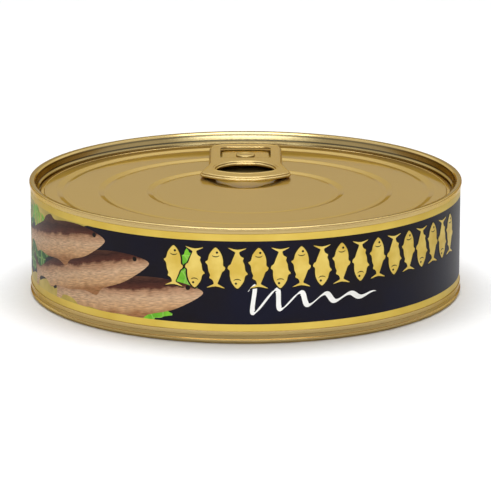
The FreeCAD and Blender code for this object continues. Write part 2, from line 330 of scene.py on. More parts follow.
def mirrored(right):
    """Corners of an outline that is the same on both sides of the Y axis, anticlockwise."""
    left = [(-x, y, radius) for x, y, radius in right if x > 0]
    middle = right[:1] if right[0][0] == 0 else []
    return middle + left + right[len(middle):][::-1]


# %% Outlines of the tab, its finger hole and its window
LIP_Y = NOSE_Y - 35.1                    # the ring's end, over the trough
TONGUE_ROOT, TONGUE_TIP = NOSE_Y - 14.4, NOSE_Y - 3.45
TAB_BASE = PAD_Z + 0.12                  # under the curl, at the rivet
TAB_DEPTH, TAB_FLAT, TAB_SHEET = 1.10, 1.00, 0.30
LEAN = math.tan(math.radians(0.9))
NECK_HALF, RING_HALF, HOLE_HALF, WINDOW_HALF = 8.95, 10.9, 6.95, 6.2
NOSE_ROUND, NOSE_RISE = 45, 0.80
LIP_ROUND, LIP_TURN = 14.2, math.radians(42)
HOLE_ROUND, HOLE_TURN = 8.6, math.radians(30)
SLOT = 0.45                              # cut between the tongue and the sheet
SPACING = 0.8


def apex(edge, radius, turn):
    """Y of the corner that an arc rounds, from the arc's own middle; it turns this far on each
    side, and a negative radius is rounded towards -Y."""
    return edge + radius * (1 / math.cos(turn) - 1)


lip_apex = apex(LIP_Y, -LIP_ROUND, LIP_TURN)
nose_apex = apex(NOSE_Y, NOSE_ROUND, math.atan2(NOSE_RISE, NECK_HALF))
tab_outline = eased(mirrored([
    (0, nose_apex, NOSE_ROUND), (NECK_HALF, nose_apex - NOSE_RISE, 3.8),
    (NECK_HALF, LIP_Y + 14.5, 7.0), (RING_HALF, LIP_Y + 7.0, 7.0),
    (RING_HALF, lip_apex + RING_HALF * math.tan(LIP_TURN), 1.8),
    (0, lip_apex, LIP_ROUND)]), 5, closed=True, spacing=SPACING)
hole_y = LIP_Y + 5.15
hole_apex = apex(hole_y, -HOLE_ROUND, HOLE_TURN)
finger_hole = eased(mirrored([
    (HOLE_HALF, hole_y + 11.3, 6.8), (HOLE_HALF, hole_apex + HOLE_HALF * math.tan(HOLE_TURN), 2.6),
    (0, hole_apex, HOLE_ROUND)]), 5, closed=True, spacing=SPACING)
window = eased(mirrored([(WINDOW_HALF, TONGUE_TIP + SLOT, 2.25), (WINDOW_HALF, TONGUE_ROOT, 0.25)]),
               5, closed=True, spacing=SPACING)
print("tab outline", len(tab_outline), "hole", len(finger_hole), "window", len(window), "points")


def around(outline, section, into):
    """Loops that carry a section of (distance in from the edge, height) round an outline."""
    return [[(x + nx * into * inset, y + ny * into * inset,
              TAB_BASE + height + (y + ny * into * inset - RIVET_Y) * LEAN)
             for x, y, nx, ny in outline] for inset, height, *_ in section]


# %% Curl the edges and fill the sheet
curl = eased([(1.15, TAB_FLAT - TAB_SHEET, 0), (1.15, 0, 0.28), (0, 0, 0.33), (0, 0.66, 0.32),
              (0.33, 0.68, 0.05), (0.33, TAB_DEPTH, 0.27), (0.76, TAB_DEPTH, 0.16),
              (1.06, TAB_FLAT, 0.14), (1.20, TAB_FLAT, 0)], 5)
cut_edge = [(0, TAB_FLAT - TAB_SHEET), (0, TAB_FLAT - 0.05), (0.015, TAB_FLAT - 0.015),
            (0.05, TAB_FLAT), (0.12, TAB_FLAT)]
parts = [banded("tab_edge", around(tab_outline, curl, -1)),
         banded("tab_hole", around(finger_hole, curl, 1)),
         banded("tab_window", around(window, cut_edge, 1))]
only(*parts)
bpy.ops.object.join()
tab = named("ring_pull_tab")
for level in (TAB_FLAT, TAB_FLAT - TAB_SHEET):
    filled(tab, lambda x, y, z: abs(z - TAB_BASE - (y - RIVET_Y) * LEAN - level) < 0.004)

# %% Draw the tongue out of the sheet
TONGUE_HALF = WINDOW_HALF - SLOT
TIP_ROUND, RAMP = 1.8, 1.8               # the tongue's end corners, and its slope down to the pad
THINNER, LOWER = 0.96, 0.012             # so that its faces don't lie in those of the sheet
tongue_ring = eased([(-TONGUE_HALF, 0, 0.08), (TONGUE_HALF, 0, 0.08),
                     (TONGUE_HALF, TAB_SHEET, 0.08), (-TONGUE_HALF, TAB_SHEET, 0.08)], 5,
                    closed=True, spacing=1.2)
stations = [TONGUE_ROOT - 0.4, TONGUE_ROOT - 0.01] + [TONGUE_ROOT + 0.2 * k for k in range(1, 11)]
stations += [TONGUE_TIP - TIP_ROUND + TIP_ROUND * math.sin(math.radians(a))
             for a in range(0, 91, 9)]
loops = []
for y in stations:
    past = max(0.0, y - TONGUE_TIP + TIP_ROUND)
    wide = TONGUE_HALF - TIP_ROUND + math.sqrt(max(0.0, TIP_ROUND ** 2 - past ** 2))
    wide /= TONGUE_HALF
    fall = (TAB_FLAT - TAB_SHEET) * (1 - smooth_step(TONGUE_ROOT, TONGUE_ROOT + RAMP, y)) - LOWER
    loops.append([(x * wide, y, TAB_BASE + z * THINNER + fall + (y - RIVET_Y) * LEAN)
                  for x, z, *_ in tongue_ring])
tongue = banded("tab_tongue", loops)
for end in (stations[0], stations[-1]):
    filled(tongue, lambda x, y, z: abs(y - end) < 1e-3)
only(tab, tongue)
bpy.ops.object.join()
finished(tab, crease=40)

# %% [markdown]
# ## The rivet
# On a real lid the rivet is drawn up from the panel itself and flattened over the tongue, which
# leaves a low button with a shallow dimple. It is turned like the rim, about its own axis.

# %% Turn the rivet
RIVET_TOP = TAB_BASE + TAB_SHEET + 0.42
SHANK_R, HEAD_R, SHANK_LOW = 1.60, 2.35, PAD_Z - 0.2
HEAD_LOW, DIMPLE = TAB_BASE + TAB_SHEET, 0.16
rivet_section = eased([
    (0, SHANK_LOW, 0), (SHANK_R, SHANK_LOW, 0), (SHANK_R, HEAD_LOW, 0),
    (HEAD_R - 0.05, HEAD_LOW, 0.05), (HEAD_R, RIVET_TOP - 0.02, 0.30), (1.55, RIVET_TOP, 0.6),
    (1.05, RIVET_TOP - DIMPLE, 0.6), (0, RIVET_TOP - DIMPLE, 0)], 9)
rivet = traced("tab_rivet", rivet_section)
bpy.ops.mesh.select_all(action="SELECT")
bpy.ops.transform.translate(value=(0, RIVET_Y * MM, 0))
bpy.ops.mesh.spin(steps=64, angle=math.tau, axis=(0, 0, 1), center=(0, RIVET_Y * MM, 0))
finished(rivet, crease=40)

# %% [markdown]
# ## The paper sleeve
# The label is one strip of coated paper, wrapped round the wall between the foot and the seam and
# glued where its end lies over its start, at the back. So the outside of a thin tube is lifted
# where the paper lies double: it drops sharply at the paper's end and eases down on the other side,
# where the sheet bridges the edge below it.

# %% Wrap the sleeve
PAPER = 0.12
OVERLAP = 8.0                            # width of the glued overlap along the wall
flap_from, flap_to = math.radians(90), math.radians(90) + OVERLAP / LABEL_R


def sleeve_r(angle):
    """Outer radius of the paper: doubled over the flap, easing down beyond it."""
    over = smooth_step(flap_from - 0.001, flap_from + 0.001, angle)
    return LABEL_R + PAPER * over * (1 - smooth_step(flap_to - 0.03, flap_to + 0.03, angle))


AROUND = 720
angles = [math.tau * k / AROUND for k in range(AROUND)]
CUT = 0.02                               # bevel at the paper's cut edges
sleeve_section = [(-PAPER, LABEL_LOW), (-CUT, LABEL_LOW), (0, LABEL_LOW + CUT),
                  (0, LABEL_TOP - CUT), (-CUT, LABEL_TOP), (-PAPER, LABEL_TOP)]
sleeve = banded("paper_sleeve", [
    [((sleeve_r(a) + out) * math.cos(a), (sleeve_r(a) + out) * math.sin(a), z) if out > -PAPER else
     ((LABEL_R + out) * math.cos(a), (LABEL_R + out) * math.sin(a), z) for a in angles]
    for out, z in sleeve_section + sleeve_section[:1]])
finished(sleeve, crease=30)

# %% [markdown]
# ## Flat shapes for the print
# The label is printed flat before it's wrapped. Its pictures could be painted in one material, but
# cut shapes stay crisp at any distance. So each motif is a flat face drawn from its outline, split
# into narrow strips so that it can bend, given the thickness of a film of ink, and rolled round the
# can. Distances are millimetres along the label from the middle of its front and up from the base.

# %% Draw, split and wrap a flat shape
INK_STEP = 0.014                         # each layer of ink stands this far above the last
SUNK = 0.01                              # the film's hidden side lies this far in the paper
STRIP = 1.0                              # width of the strips that let a shape bend


def soft_loop(points, parts):
    """A smooth closed loop through its points, by a Catmull-Rom curve in this many parts each."""
    loop = []
    count = len(points)
    for i in range(count):
        before, here, after, later = (Vector(points[(i + k) % count]) for k in (-1, 0, 1, 2))
        for k in range(parts):
            t = k / parts
            loop.append(0.5 * (2 * here + (after - before) * t
                               + (2 * before - 5 * here + 4 * after - later) * t * t
                               + (3 * here - before - 3 * after + later) * t ** 3))
    return [(p.x, p.y) for p in loop]


def drawn(name, outline, placed=lambda u, v: (u, v), layer=1, within=None):
    """A film of ink with this outline, cut off at two heights if they are given. Its own
    coordinates go to its UV map, in centimetres."""
    bpy.ops.mesh.primitive_circle_add(vertices=len(outline), radius=MM, fill_type="NGON")
    obj = named(name)
    for vert, (u, v) in zip(obj.data.vertices, outline):
        vert.co = Vector((u, 0, v)) * MM
    uv = obj.data.uv_layers.active or obj.data.uv_layers.new(name="print")
    for corner in obj.data.loops:
        at = obj.data.vertices[corner.vertex_index].co / MM
        uv.data[corner.index].uv = (at.x / 10, at.z / 10)
    for vert in obj.data.vertices:
        u, v = placed(vert.co.x / MM, vert.co.z / MM)
        vert.co = Vector((u, 0, v)) * MM
    bpy.ops.object.mode_set(mode="EDIT")
    along = [v.co.x / MM for v in obj.data.vertices]
    cuts = [((k * STRIP, 0), (1, 0), False) for k in
            range(math.floor(min(along) / STRIP) + 1, math.ceil(max(along) / STRIP))]
    for height, way in zip(within or (), (-1, 1)):
        cuts.append(((0, height), (0, way), True))
    for (u, v), (nu, nv), clear in cuts:
        bpy.ops.mesh.select_all(action="SELECT")
        bpy.ops.mesh.bisect(plane_co=Vector((u, 0, v)) * MM, plane_no=(nu, 0, nv),
                            clear_outer=clear, threshold=0.001 * MM)
    bpy.ops.mesh.select_all(action="SELECT")
    bpy.ops.mesh.quads_convert_to_tris()
    bpy.ops.object.mode_set(mode="OBJECT")
    film = obj.modifiers.new("film", "SOLIDIFY")
    film.thickness, film.offset = (INK_STEP * layer + SUNK) * MM, 0
    bpy.ops.object.modifier_apply(modifier=film.name)
    for vert in obj.data.vertices:
        angle = vert.co.x / (LABEL_R * MM)
        r = LABEL_R * MM + (INK_STEP * layer * MM if vert.co.y < 0 else -SUNK * MM)
        vert.co = Vector((r * math.sin(angle), -r * math.cos(angle), vert.co.z))
    return obj


def joined(name, pieces):
    """Joins pieces of print into one object."""
    only(*pieces)
    if len(pieces) > 1:
        bpy.ops.object.join()
    obj = named(name)
    bpy.ops.object.mode_set(mode="EDIT")
    bpy.ops.mesh.select_all(action="SELECT")
    bpy.ops.mesh.normals_make_consistent(inside=False)
    bpy.ops.object.mode_set(mode="OBJECT")
    bpy.ops.object.shade_smooth_by_angle(angle=math.radians(30))
    print(name, len(obj.data.polygons), "faces")
    return obj


# %% [markdown]
# ## The row of little fish
# Across the front stands a row of little gold fish, packed head to tail as they are in the tin. One
# outline serves them all: a plump body with a fin on its back and belly and a forked tail. Each has
# a slightly larger black edge below it and a black eye and gill on top.

# %% Outline of a sprat
BACK = [(0.00, 0.00), (0.03, 0.26), (0.10, 0.58), (0.20, 0.86), (0.32, 1.00), (0.44, 1.02),
        (0.49, 1.30), (0.56, 1.16), (0.60, 0.88), (0.72, 0.62), (0.83, 0.36), (0.89, 0.27),
        (0.93, 0.62), (1.00, 1.22)]
BELLY = [(0.99, -1.22), (0.93, -0.62), (0.89, -0.27), (0.80, -0.44), (0.75, -0.86), (0.68, -0.76),
         (0.58, -0.98), (0.44, -1.10), (0.36, -1.42), (0.31, -1.08), (0.18, -0.88), (0.08, -0.52),
         (0.02, -0.22)]


def sprat(length, girth, grow=0.0):
    """Outline of a fish with its nose at the origin, its tail along +X and its back upwards."""
    points = BACK + [(0.955, 0.0)] + BELLY
    loop = [(t * length, w * girth) for t, w in soft_loop(points, 3)]
    if grow:
        centre = Vector((length / 2, 0))
        loop = [(centre.x + (x - centre.x) * (1 + 2 * grow / length), y * (1 + grow / girth))
                for x, y in loop]
    return loop[::-1]


def disc(x, y, r, points=14):
    """A small round dot."""
    return [(x + r * math.cos(math.tau * k / points), y + r * math.sin(math.tau * k / points))
            for k in range(points)]


def gill(x, height, bow, wide):
    """A crescent that bows towards the tail."""
    turns = [math.pi * (k / 8 - 0.5) for k in range(9)]
    outer = [(x + bow * math.cos(a), height * math.sin(a)) for a in turns]
    inner = [(x + (bow - wide) * math.cos(a), height * 0.9 * math.sin(a)) for a in reversed(turns)]
    return outer + inner[1:-1]


# %% Stand the fish in a row
ROW_FROM, ROW_TO, ROW_COUNT = -16.4, 61.2, 17
ROW_LOW, FISH_LONG, FISH_GIRTH = 12.9, 9.4, 1.66
gold_fish, fish_edges, fish_marks = [], [], []
for number in range(ROW_COUNT):
    at = ROW_FROM + (ROW_TO - ROW_FROM) * number / (ROW_COUNT - 1)
    up = number % 2 == 0

    def stood(u, v, at=at, up=up):
        """Turns a lying fish upright, head up or head down."""
        return (at + v, ROW_LOW + FISH_LONG - u) if up else (at - v, ROW_LOW + u)

    gold_fish.append(drawn("fish", sprat(FISH_LONG, FISH_GIRTH), stood, layer=4))
    fish_edges.append(drawn("edge", sprat(FISH_LONG, FISH_GIRTH, grow=0.38), stood, layer=3))
    fish_marks.append(drawn("eye", disc(1.15, 0.30, 0.27), stood, layer=5))
    fish_marks.append(drawn("gill", gill(1.75, 0.85, 0.50, 0.22), stood, layer=5))
fish_row = joined("label_gold_fish_row", gold_fish)
fish_edge_row = joined("label_fish_black_edges", fish_edges)
fish_mark_row = joined("label_fish_eyes_and_gills", fish_marks)

# %% [markdown]
# ## The white wave
# Under the right half of the row runs a white wave, drawn as if with a broad pen: the stroke is
# thin along the pen's edge and thick across it. Its middle line leans forward and dies out at the
# end, and its two sides are walked there and back to give one outline.

# %% Draw the wave
PEN_ANGLE = math.radians(38)
WAVE_FROM, WAVE_TO, WAVE_MIDDLE = -0.5, 31.5, 9.6


def wave_point(t):
    """Middle line of the wave, from t = 0 to 1: a tall first crest, then lower ones."""
    tall = 2.7 * (1 - t) ** 1.6 + 0.85
    turn = math.tau * 5.25 * t ** 0.93
    v = WAVE_MIDDLE + tall * math.sin(turn + 0.6) * (1 - 0.55 * t) + 0.6 * (1 - t)
    return Vector((WAVE_FROM + (WAVE_TO - WAVE_FROM) * t + 0.42 * (v - WAVE_MIDDLE), v))


sides = ([], [])
WAVE_STEPS = 220
for k in range(WAVE_STEPS + 1):
    t = k / WAVE_STEPS
    here = wave_point(t)
    run = (wave_point(min(1, t + 0.002)) - wave_point(max(0, t - 0.002))).normalized()
    half = 0.12 + 0.52 * abs(math.sin(math.atan2(run.y, run.x) - PEN_ANGLE))
    half *= smooth_step(-0.02, 0.05, t) * smooth_step(-0.02, 0.10, 1 - t)
    across = Vector((-run.y, run.x)) * half
    sides[0].append(tuple(here - across))
    sides[1].append(tuple(here + across))
wave = joined("label_white_wave", [drawn("wave", sides[0] + sides[1][::-1], layer=2)])

# %% [markdown]
# ## The picture at the left
# The left of the label shows what's inside: smoked sprats on salad leaves, over gold waves. Three
# fish lie aslant, each partly under the one above it. Their brown backs and tan bellies come from
# the material, which follows each fish by its UV map. The leaves' frills are two ripples added to
# an oval.

# %% Lay the smoked sprats
FIELD_LOW, FIELD_TOP = LABEL_LOW + 1.60, LABEL_TOP - 1.60


def laid(nose, lean):
    """Places a fish by its nose, its tail to the left and down by the lean in degrees."""
    c, s = math.cos(math.radians(180 + lean)), math.sin(math.radians(180 + lean))
    return lambda u, v: (nose[0] + u * c + v * s, nose[1] + u * s - v * c)


smoked = []
for number, (nose, lean, length) in enumerate([
        ((-34.5, 21.2), 9, 41), ((-22.5, 17.6), 13, 46), ((-9.6, 11.8), 7, 45)]):
    smoked.append(joined(f"label_smoked_sprat_{number + 1}", [
        drawn("sprat", sprat(length, 4.3), laid(nose, lean), layer=4 - number,
              within=(FIELD_LOW, FIELD_TOP))]))
    smoked.append(joined(f"label_sprat_eye_{number + 1}", [
        drawn("eye", disc(length * 0.075, 1.3, 0.55, 18), laid(nose, lean), layer=5 - number)]))


# %% Grow the leaves
def leaf(u, v, wide, tall, turn, frill=0.10, lobes=7, points=72):
    """A frilled oval."""
    loop = []
    for k in range(points):
        a = math.tau * k / points
        r = 1 + frill * math.sin(lobes * a + u) + 0.5 * frill * math.sin(2.3 * lobes * a + v)
        x, y = wide * r * math.cos(a), tall * r * math.sin(a)
        loop.append((u + x * math.cos(turn) - y * math.sin(turn),
                     v + x * math.sin(turn) + y * math.cos(turn)))
    return loop


field = dict(within=(FIELD_LOW, FIELD_TOP))
dark_leaves = joined("label_dark_leaves", [
    drawn("leaf", leaf(-66, 12.6, 9.5, 4.6, 0.25), **field),
    drawn("leaf", leaf(-76, 17.5, 8.0, 3.4, 0.5), **field)])
bright_leaves = joined("label_bright_leaves", [
    drawn("leaf", leaf(-23.5, 6.6, 7.2, 3.0, 0.30, 0.15, 8), **field),
    drawn("leaf", leaf(-13.5, 16.4, 3.6, 4.6, -0.3, 0.14, 8), **field),
    drawn("leaf", leaf(-64, 20.6, 7.0, 2.6, -0.2, 0.14, 9), **field)])


# %% Roll the gold waves
def scallops(start, end, depth, crests, base, way):
    """A field with one level edge and one free edge of curling wave crests, which points up or
    down as way is 1 or -1."""
    edge = []
    for k in range(crests * 12 + 1):
        t = k / (crests * 12)
        swell = abs(math.sin(math.pi * crests * t)) ** 0.7
        reach = depth * math.sin(math.pi * min(1, 0.08 + 0.92 * t)) ** 0.8 * (0.55 + 0.45 * swell)
        edge.append((start + (end - start) * t + 0.5 * math.sin(math.tau * crests * t),
                     base + way * reach))
    return [(start, base), *edge[1:-1], (end, base)][::way]


gold_waves = joined("label_gold_waves", [
    drawn("wave", scallops(-88, -40, 5.6, 5, FIELD_TOP, -1)),
    drawn("wave", scallops(-80, -27, 2.9, 6, FIELD_LOW, 1))])

# %% [markdown]
# ## Materials
# One function turns the colours, written as in a drawing program, to linear light, and another adds
# a shader node with its settings and links. Patterns are read from Object coordinates, which are
# metres in the tin's frame, so a noise scale is one over the grain's size in metres.

# %% Colour and node helpers
def linear(hex_colour):
    """sRGB hex to linear light, with an alpha of 1."""
    parts = [int(hex_colour[k:k + 2], 16) / 255 for k in (1, 3, 5)]
    light = [c / 12.92 if c <= 0.04045 else ((c + 0.055) / 1.055) ** 2.4 for c in parts]
    return (*light, 1.0)


def add(tree, kind, inputs=None, **settings):
    """Adds a node; an input that is given a socket is linked, and any other is set."""
    node = tree.nodes.new("ShaderNode" + kind)
    for name, value in settings.items():
        setattr(node, name, value)
    for name, value in (inputs or {}).items():
        if isinstance(value, bpy.types.NodeSocket):
            tree.links.new(value, node.inputs[name])
        else:
            node.inputs[name].default_value = value
    return node


def blank(name):
    """A new material with an empty node tree."""
    material = bpy.data.materials.new(name)
    material.use_nodes = True
    material.node_tree.nodes.clear()
    return material, material.node_tree


def grain(size_mm):
    """Noise scale for a grain of this size."""
    return 1 / (size_mm * MM)


def seen(tree):
    """1 for the rays that show a thing or its reflection, and 0 for those that light others."""
    ray = add(tree, "LightPath")
    share = ray.outputs["Is Camera Ray"]
    for kind in ("Is Glossy Ray", "Is Transmission Ray"):
        share = add(tree, "Math", {0: share, 1: ray.outputs[kind]}, operation="MAXIMUM").outputs[0]
    return share


def between(tree, value, low, high):
    """1 where a length in metres lies between two levels in millimetres, and 0 elsewhere."""
    over = add(tree, "Math", {0: value, 1: low * MM}, operation="GREATER_THAN")
    under = add(tree, "Math", {0: value, 1: high * MM}, operation="LESS_THAN")
    both = add(tree, "Math", {0: over.outputs[0], 1: under.outputs[0]}, operation="MULTIPLY")
    return both.outputs[0]


def ramped(tree, value, stops):
    """A colour ramp with (position, colour) stops; the colours are linear."""
    ramp = add(tree, "ValToRGB", {"Fac": value})
    elements = ramp.color_ramp.elements
    while len(elements) < len(stops):
        elements.new(0.5)
    for element, (at, colour) in zip(elements, stops):
        element.position, element.color = at, colour
    return ramp.outputs[0]


# %% [markdown]
# ### Gold-lacquered tinplate
# Tinplate is thin steel with a film of tin, cold-rolled so that fine lines run along the sheet. A
# gold-tinted lacquer is rolled on and baked, which gives the warm colour, a ripple like orange peel
# a millimetre across, and a clear gloss over a softer metal shine. Its tint at
# grazing angles stays gold, because light passes through the lacquer twice. Broad noise shifts the
# tone a little, a stretched noise draws the rolling lines, and a fine one the ripple. On the rim
# the colour is painted darker in bands up the seam's inner face. This is painted shade that stands
# in for the dark reflections and shade lines there; the bands' heights are in millimetres from the
# base.

# %% Lacquered tinplate
def lacquered_tinplate(name, gold, shade, edge, roughness=0.21, turn=0.0, painted_shade_bands=()):
    """Gold lacquer over rolled tinplate; turn is the rolling direction in degrees, and the last
    argument lists (height, share of the colour left) for bands of painted shade up the inner face
    of the seam."""
    material, tree = blank(name)
    place = add(tree, "TexCoord").outputs["Object"]
    tone = add(tree, "TexNoise", {"Vector": place, "Scale": grain(38), "Detail": 2.0})
    along_sheet = add(tree, "Mapping", {"Vector": place, "Rotation": (0, 0, math.radians(turn)),
                                        "Scale": (grain(9), grain(0.30), grain(0.6))})
    lines = add(tree, "TexNoise", {"Vector": along_sheet.outputs[0], "Scale": 1.0, "Detail": 3.0})
    peel = add(tree, "TexNoise", {"Vector": place, "Scale": grain(1.1), "Detail": 1.0})
    speck = add(tree, "TexNoise", {"Vector": place, "Scale": grain(0.35), "Detail": 2.0})
    scuff = add(tree, "MapRange", {"Value": speck.outputs[0], "From Min": 0.70, "From Max": 0.78})
    warm = add(tree, "MixRGB", {"Fac": tone.outputs[0], "Color1": linear(gold),
                                "Color2": linear(shade)})
    streaked = add(tree, "MapRange", {"Value": lines.outputs[0], "From Min": 0.3, "From Max": 0.7,
                                      "To Min": 0.988, "To Max": 1.01})
    share = streaked.outputs[0]
    # Painted shade: the colour is darkened in bands by height on the seam's inner face, standing in
    # for its dark reflection lines.
    if painted_shade_bands:
        low, high = painted_shade_bands[0][0], painted_shade_bands[-1][0]
        height = add(tree, "SeparateXYZ", {0: place}).outputs[2]
        step = add(tree, "MapRange", {"Value": height, "From Min": low * MM,
                                      "From Max": high * MM})
        left = ramped(tree, step.outputs[0], [((at - low) / (high - low), (kept, kept, kept, 1))
                                              for at, kept in painted_shade_bands])
        level = add(tree, "VectorMath", {0: place, 1: (1, 1, 0)}, operation="MULTIPLY")
        out = add(tree, "VectorMath", {0: level.outputs[0]}, operation="LENGTH").outputs["Value"]
        where = between(tree, out, PANEL_R - 0.03, RIM_R - 0.20)
        kept = add(tree, "MapRange", {"Value": where, "To Min": 1.0, "To Max": left})
        share = add(tree, "Math", {0: share, 1: kept.outputs[0]}, operation="MULTIPLY").outputs[0]
    colour = add(tree, "VectorMath", {0: warm.outputs[0], "Scale": share}, operation="SCALE")
    dull = add(tree, "MapRange", {"Value": lines.outputs[0], "From Min": 0.25, "From Max": 0.75,
                                  "To Min": roughness - 0.012, "To Max": roughness + 0.012})
    rough = add(tree, "Math", {0: scuff.outputs[0], 1: 0.10, 2: dull.outputs[0]},
                operation="MULTIPLY_ADD")
    relief = add(tree, "Math", {0: lines.outputs[0], 1: 0.08, 2: peel.outputs[0]},
                 operation="MULTIPLY_ADD")
    bump = add(tree, "Bump", {"Height": relief.outputs[0], "Strength": 0.022, "Distance": 0.00006})
    metal = add(tree, "BsdfPrincipled", {
        "Base Color": colour.outputs[0], "Metallic": 1.0, "Roughness": rough.outputs[0],
        "Normal": bump.outputs[0], "Specular Tint": linear(edge), "Coat Weight": 0.35,
        "Coat Roughness": 0.06, "Coat IOR": 1.45})
    add(tree, "OutputMaterial", {"Surface": metal.outputs[0]})
    return material


# Bands of painted shade up the seam's inner face, for its dark reflection lines: (height in mm,
# share of the colour left).
SEAM_PAINTED_SHADE = ((23.60, 0.42), (24.38, 0.46), (24.46, 0.66), (24.70, 0.56), (24.77, 0.15),
              (25.03, 0.15), (25.16, 0.60), (25.88, 0.60), (25.96, 0.30), (26.30, 0.30),
              (26.42, 1.00), (26.74, 1.00), (26.81, 0.50), (26.95, 0.40))
lid_gold = lacquered_tinplate("gold_lacquered_tinplate_lid", "#B8A068", "#B0975E", "#CFB576",
                              roughness=0.29)
rim_gold = lacquered_tinplate("gold_lacquered_tinplate_rim", "#C6AD74", "#BEA56B", "#D5BB7C",
                              roughness=0.18, painted_shade_bands=SEAM_PAINTED_SHADE)
body_gold = lacquered_tinplate("gold_lacquered_tinplate_body", "#BCA46C", "#B49A60", "#D5BB7C",
                               turn=90)
tab_gold = lacquered_tinplate("gold_lacquered_tinplate_tab", "#BEA66E", "#B79D63", "#D7BD80",
                              roughness=0.19, turn=90)

# %% [markdown]
# ### Coated paper and its inks
# The sleeve is paper with a clay coat and a varnish. Black is printed full, with a touch of blue in
# it, between two bands of gold. Its fibres show as a faint relief a few tenths of a millimetre
# across, and the wrapped sheet cockles over a centimetre or two. Every ink shares that relief and
# gloss and differs only in its colour, so one function lays a colour on the paper.

# %% Ink on coated paper
def ink_on_paper(name, paint, roughness=0.42, gloss=0.12):
    """Varnished print: paint(tree, place, uv) returns the socket that gives its colour."""
    material, tree = blank(name)
    coords = add(tree, "TexCoord")
    place = coords.outputs["Object"]
    colour = paint(tree, place, coords.outputs["UV"])
    fibre = add(tree, "TexNoise", {"Vector": place, "Scale": grain(0.35), "Detail": 3.0})
    cockle = add(tree, "TexNoise", {"Vector": place, "Scale": grain(14), "Detail": 1.0})
    relief = add(tree, "Math", {0: cockle.outputs[0], 1: 6.0, 2: fibre.outputs[0]},
                 operation="MULTIPLY_ADD")
    bump = add(tree, "Bump", {"Height": relief.outputs[0], "Strength": 0.10, "Distance": 0.00008})
    rough = add(tree, "MapRange", {"Value": fibre.outputs[0], "To Min": roughness - 0.05,
                                   "To Max": roughness + 0.07})
    sheet = add(tree, "BsdfPrincipled", {
        "Base Color": colour, "Roughness": rough.outputs[0], "Normal": bump.outputs[0],
        "IOR": 1.5, "Specular IOR Level": gloss})
    add(tree, "OutputMaterial", {"Surface": sheet.outputs[0]})
    return material


def mottled(light, dark, size_mm, low=0.35, high=0.65):
    """Paints between two colours by a noise of the given size."""
    def paint(tree, place, uv):
        noise = add(tree, "TexNoise", {"Vector": place, "Scale": grain(size_mm), "Detail": 3.0})
        share = add(tree, "MapRange", {"Value": noise.outputs[0], "From Min": low,
                                       "From Max": high})
        return add(tree, "MixRGB", {"Fac": share.outputs[0], "Color1": linear(light),
                                    "Color2": linear(dark)}).outputs[0]
    return paint


# %% The sleeve's ground and bands
GOLD_LIGHT, GOLD_DEEP, BLACK_INK, NAVY_INK = "#E2C45E", "#D6B64E", "#141014", "#111121"


def sleeve_ground(tree, place, uv):
    """Black between two gold bands, by height."""
    height = add(tree, "SeparateXYZ", {0: place}).outputs[2]
    gold = mottled(GOLD_LIGHT, GOLD_DEEP, 11)(tree, place, uv)
    black = mottled(BLACK_INK, NAVY_INK, 16)(tree, place, uv)
    return add(tree, "MixRGB", {"Fac": between(tree, height, FIELD_LOW, FIELD_TOP),
                                "Color1": gold, "Color2": black}).outputs[0]


def smoked_skin(tree, place, uv):
    """Brown back, tan flank and pale belly across the fish, flecked and streaked along it."""
    across = add(tree, "SeparateXYZ", {0: uv}).outputs[1]
    ripple = add(tree, "TexNoise", {"Vector": place, "Scale": grain(2.6), "Detail": 4.0})
    bent = add(tree, "Math", {0: ripple.outputs[0], 1: 0.22, 2: across}, operation="MULTIPLY_ADD")
    share = add(tree, "MapRange", {"Value": bent.outputs[0], "From Min": -0.34, "From Max": 0.52})
    skin = ramped(tree, share.outputs[0], [(at, linear(colour)) for at, colour in (
        (0.0, "#9C6E48"), (0.16, "#C49A70"), (0.42, "#C9A684"), (0.62, "#A98061"),
        (0.70, "#553025"), (0.88, "#38201B"), (1.0, "#4E3226"))])
    stretched = add(tree, "Mapping", {"Vector": uv, "Scale": (6.0, 38.0, 1.0)})
    streak = add(tree, "TexNoise", {"Vector": stretched.outputs[0], "Scale": 1.0, "Detail": 4.0})
    shade = add(tree, "MapRange", {"Value": streak.outputs[0], "From Min": 0.3, "From Max": 0.7,
                                   "To Min": 0.66, "To Max": 1.28})
    return add(tree, "VectorMath", {0: skin, "Scale": shade.outputs[0]},
               operation="SCALE").outputs[0]


def leaf_green(light, dark):
    """Leaf colour with paler veins that branch as the cell walls of a noise."""
    def paint(tree, place, uv):
        base = mottled(light, dark, 3.2)(tree, place, uv)
        cells = add(tree, "TexVoronoi", {"Vector": place, "Scale": grain(2.4)},
                    feature="DISTANCE_TO_EDGE")
        vein = add(tree, "MapRange", {"Value": cells.outputs[0], "From Min": 0.0,
                                      "From Max": 0.10, "To Min": 0.45, "To Max": 0.0})
        return add(tree, "MixRGB", {"Fac": vein.outputs[0], "Color1": base,
                                    "Color2": linear("#B6D873")}).outputs[0]
    return paint


sleeve_print = ink_on_paper("coated_paper_black_and_gold", sleeve_ground)
gold_ink = ink_on_paper("gold_ink_on_paper", mottled("#E6CB6A", "#D3B24A", 4.5), gloss=0.22)
wave_ink = ink_on_paper("gold_ink_waves", mottled("#CDB45A", "#A9923F", 7.0), gloss=0.20)
black_ink = ink_on_paper("black_ink_on_paper", mottled("#15120F", "#1B1714", 4.0))
white_ink = ink_on_paper("white_ink_on_paper", mottled("#F7F6F2", "#ECEBE6", 3.0))
sprat_ink = ink_on_paper("smoked_sprat_print", smoked_skin)
dark_leaf = ink_on_paper("dark_leaf_print", leaf_green("#2F6B2C", "#12401C"))
bright_leaf = ink_on_paper("bright_leaf_print", leaf_green("#7FC436", "#4E9A2A"))

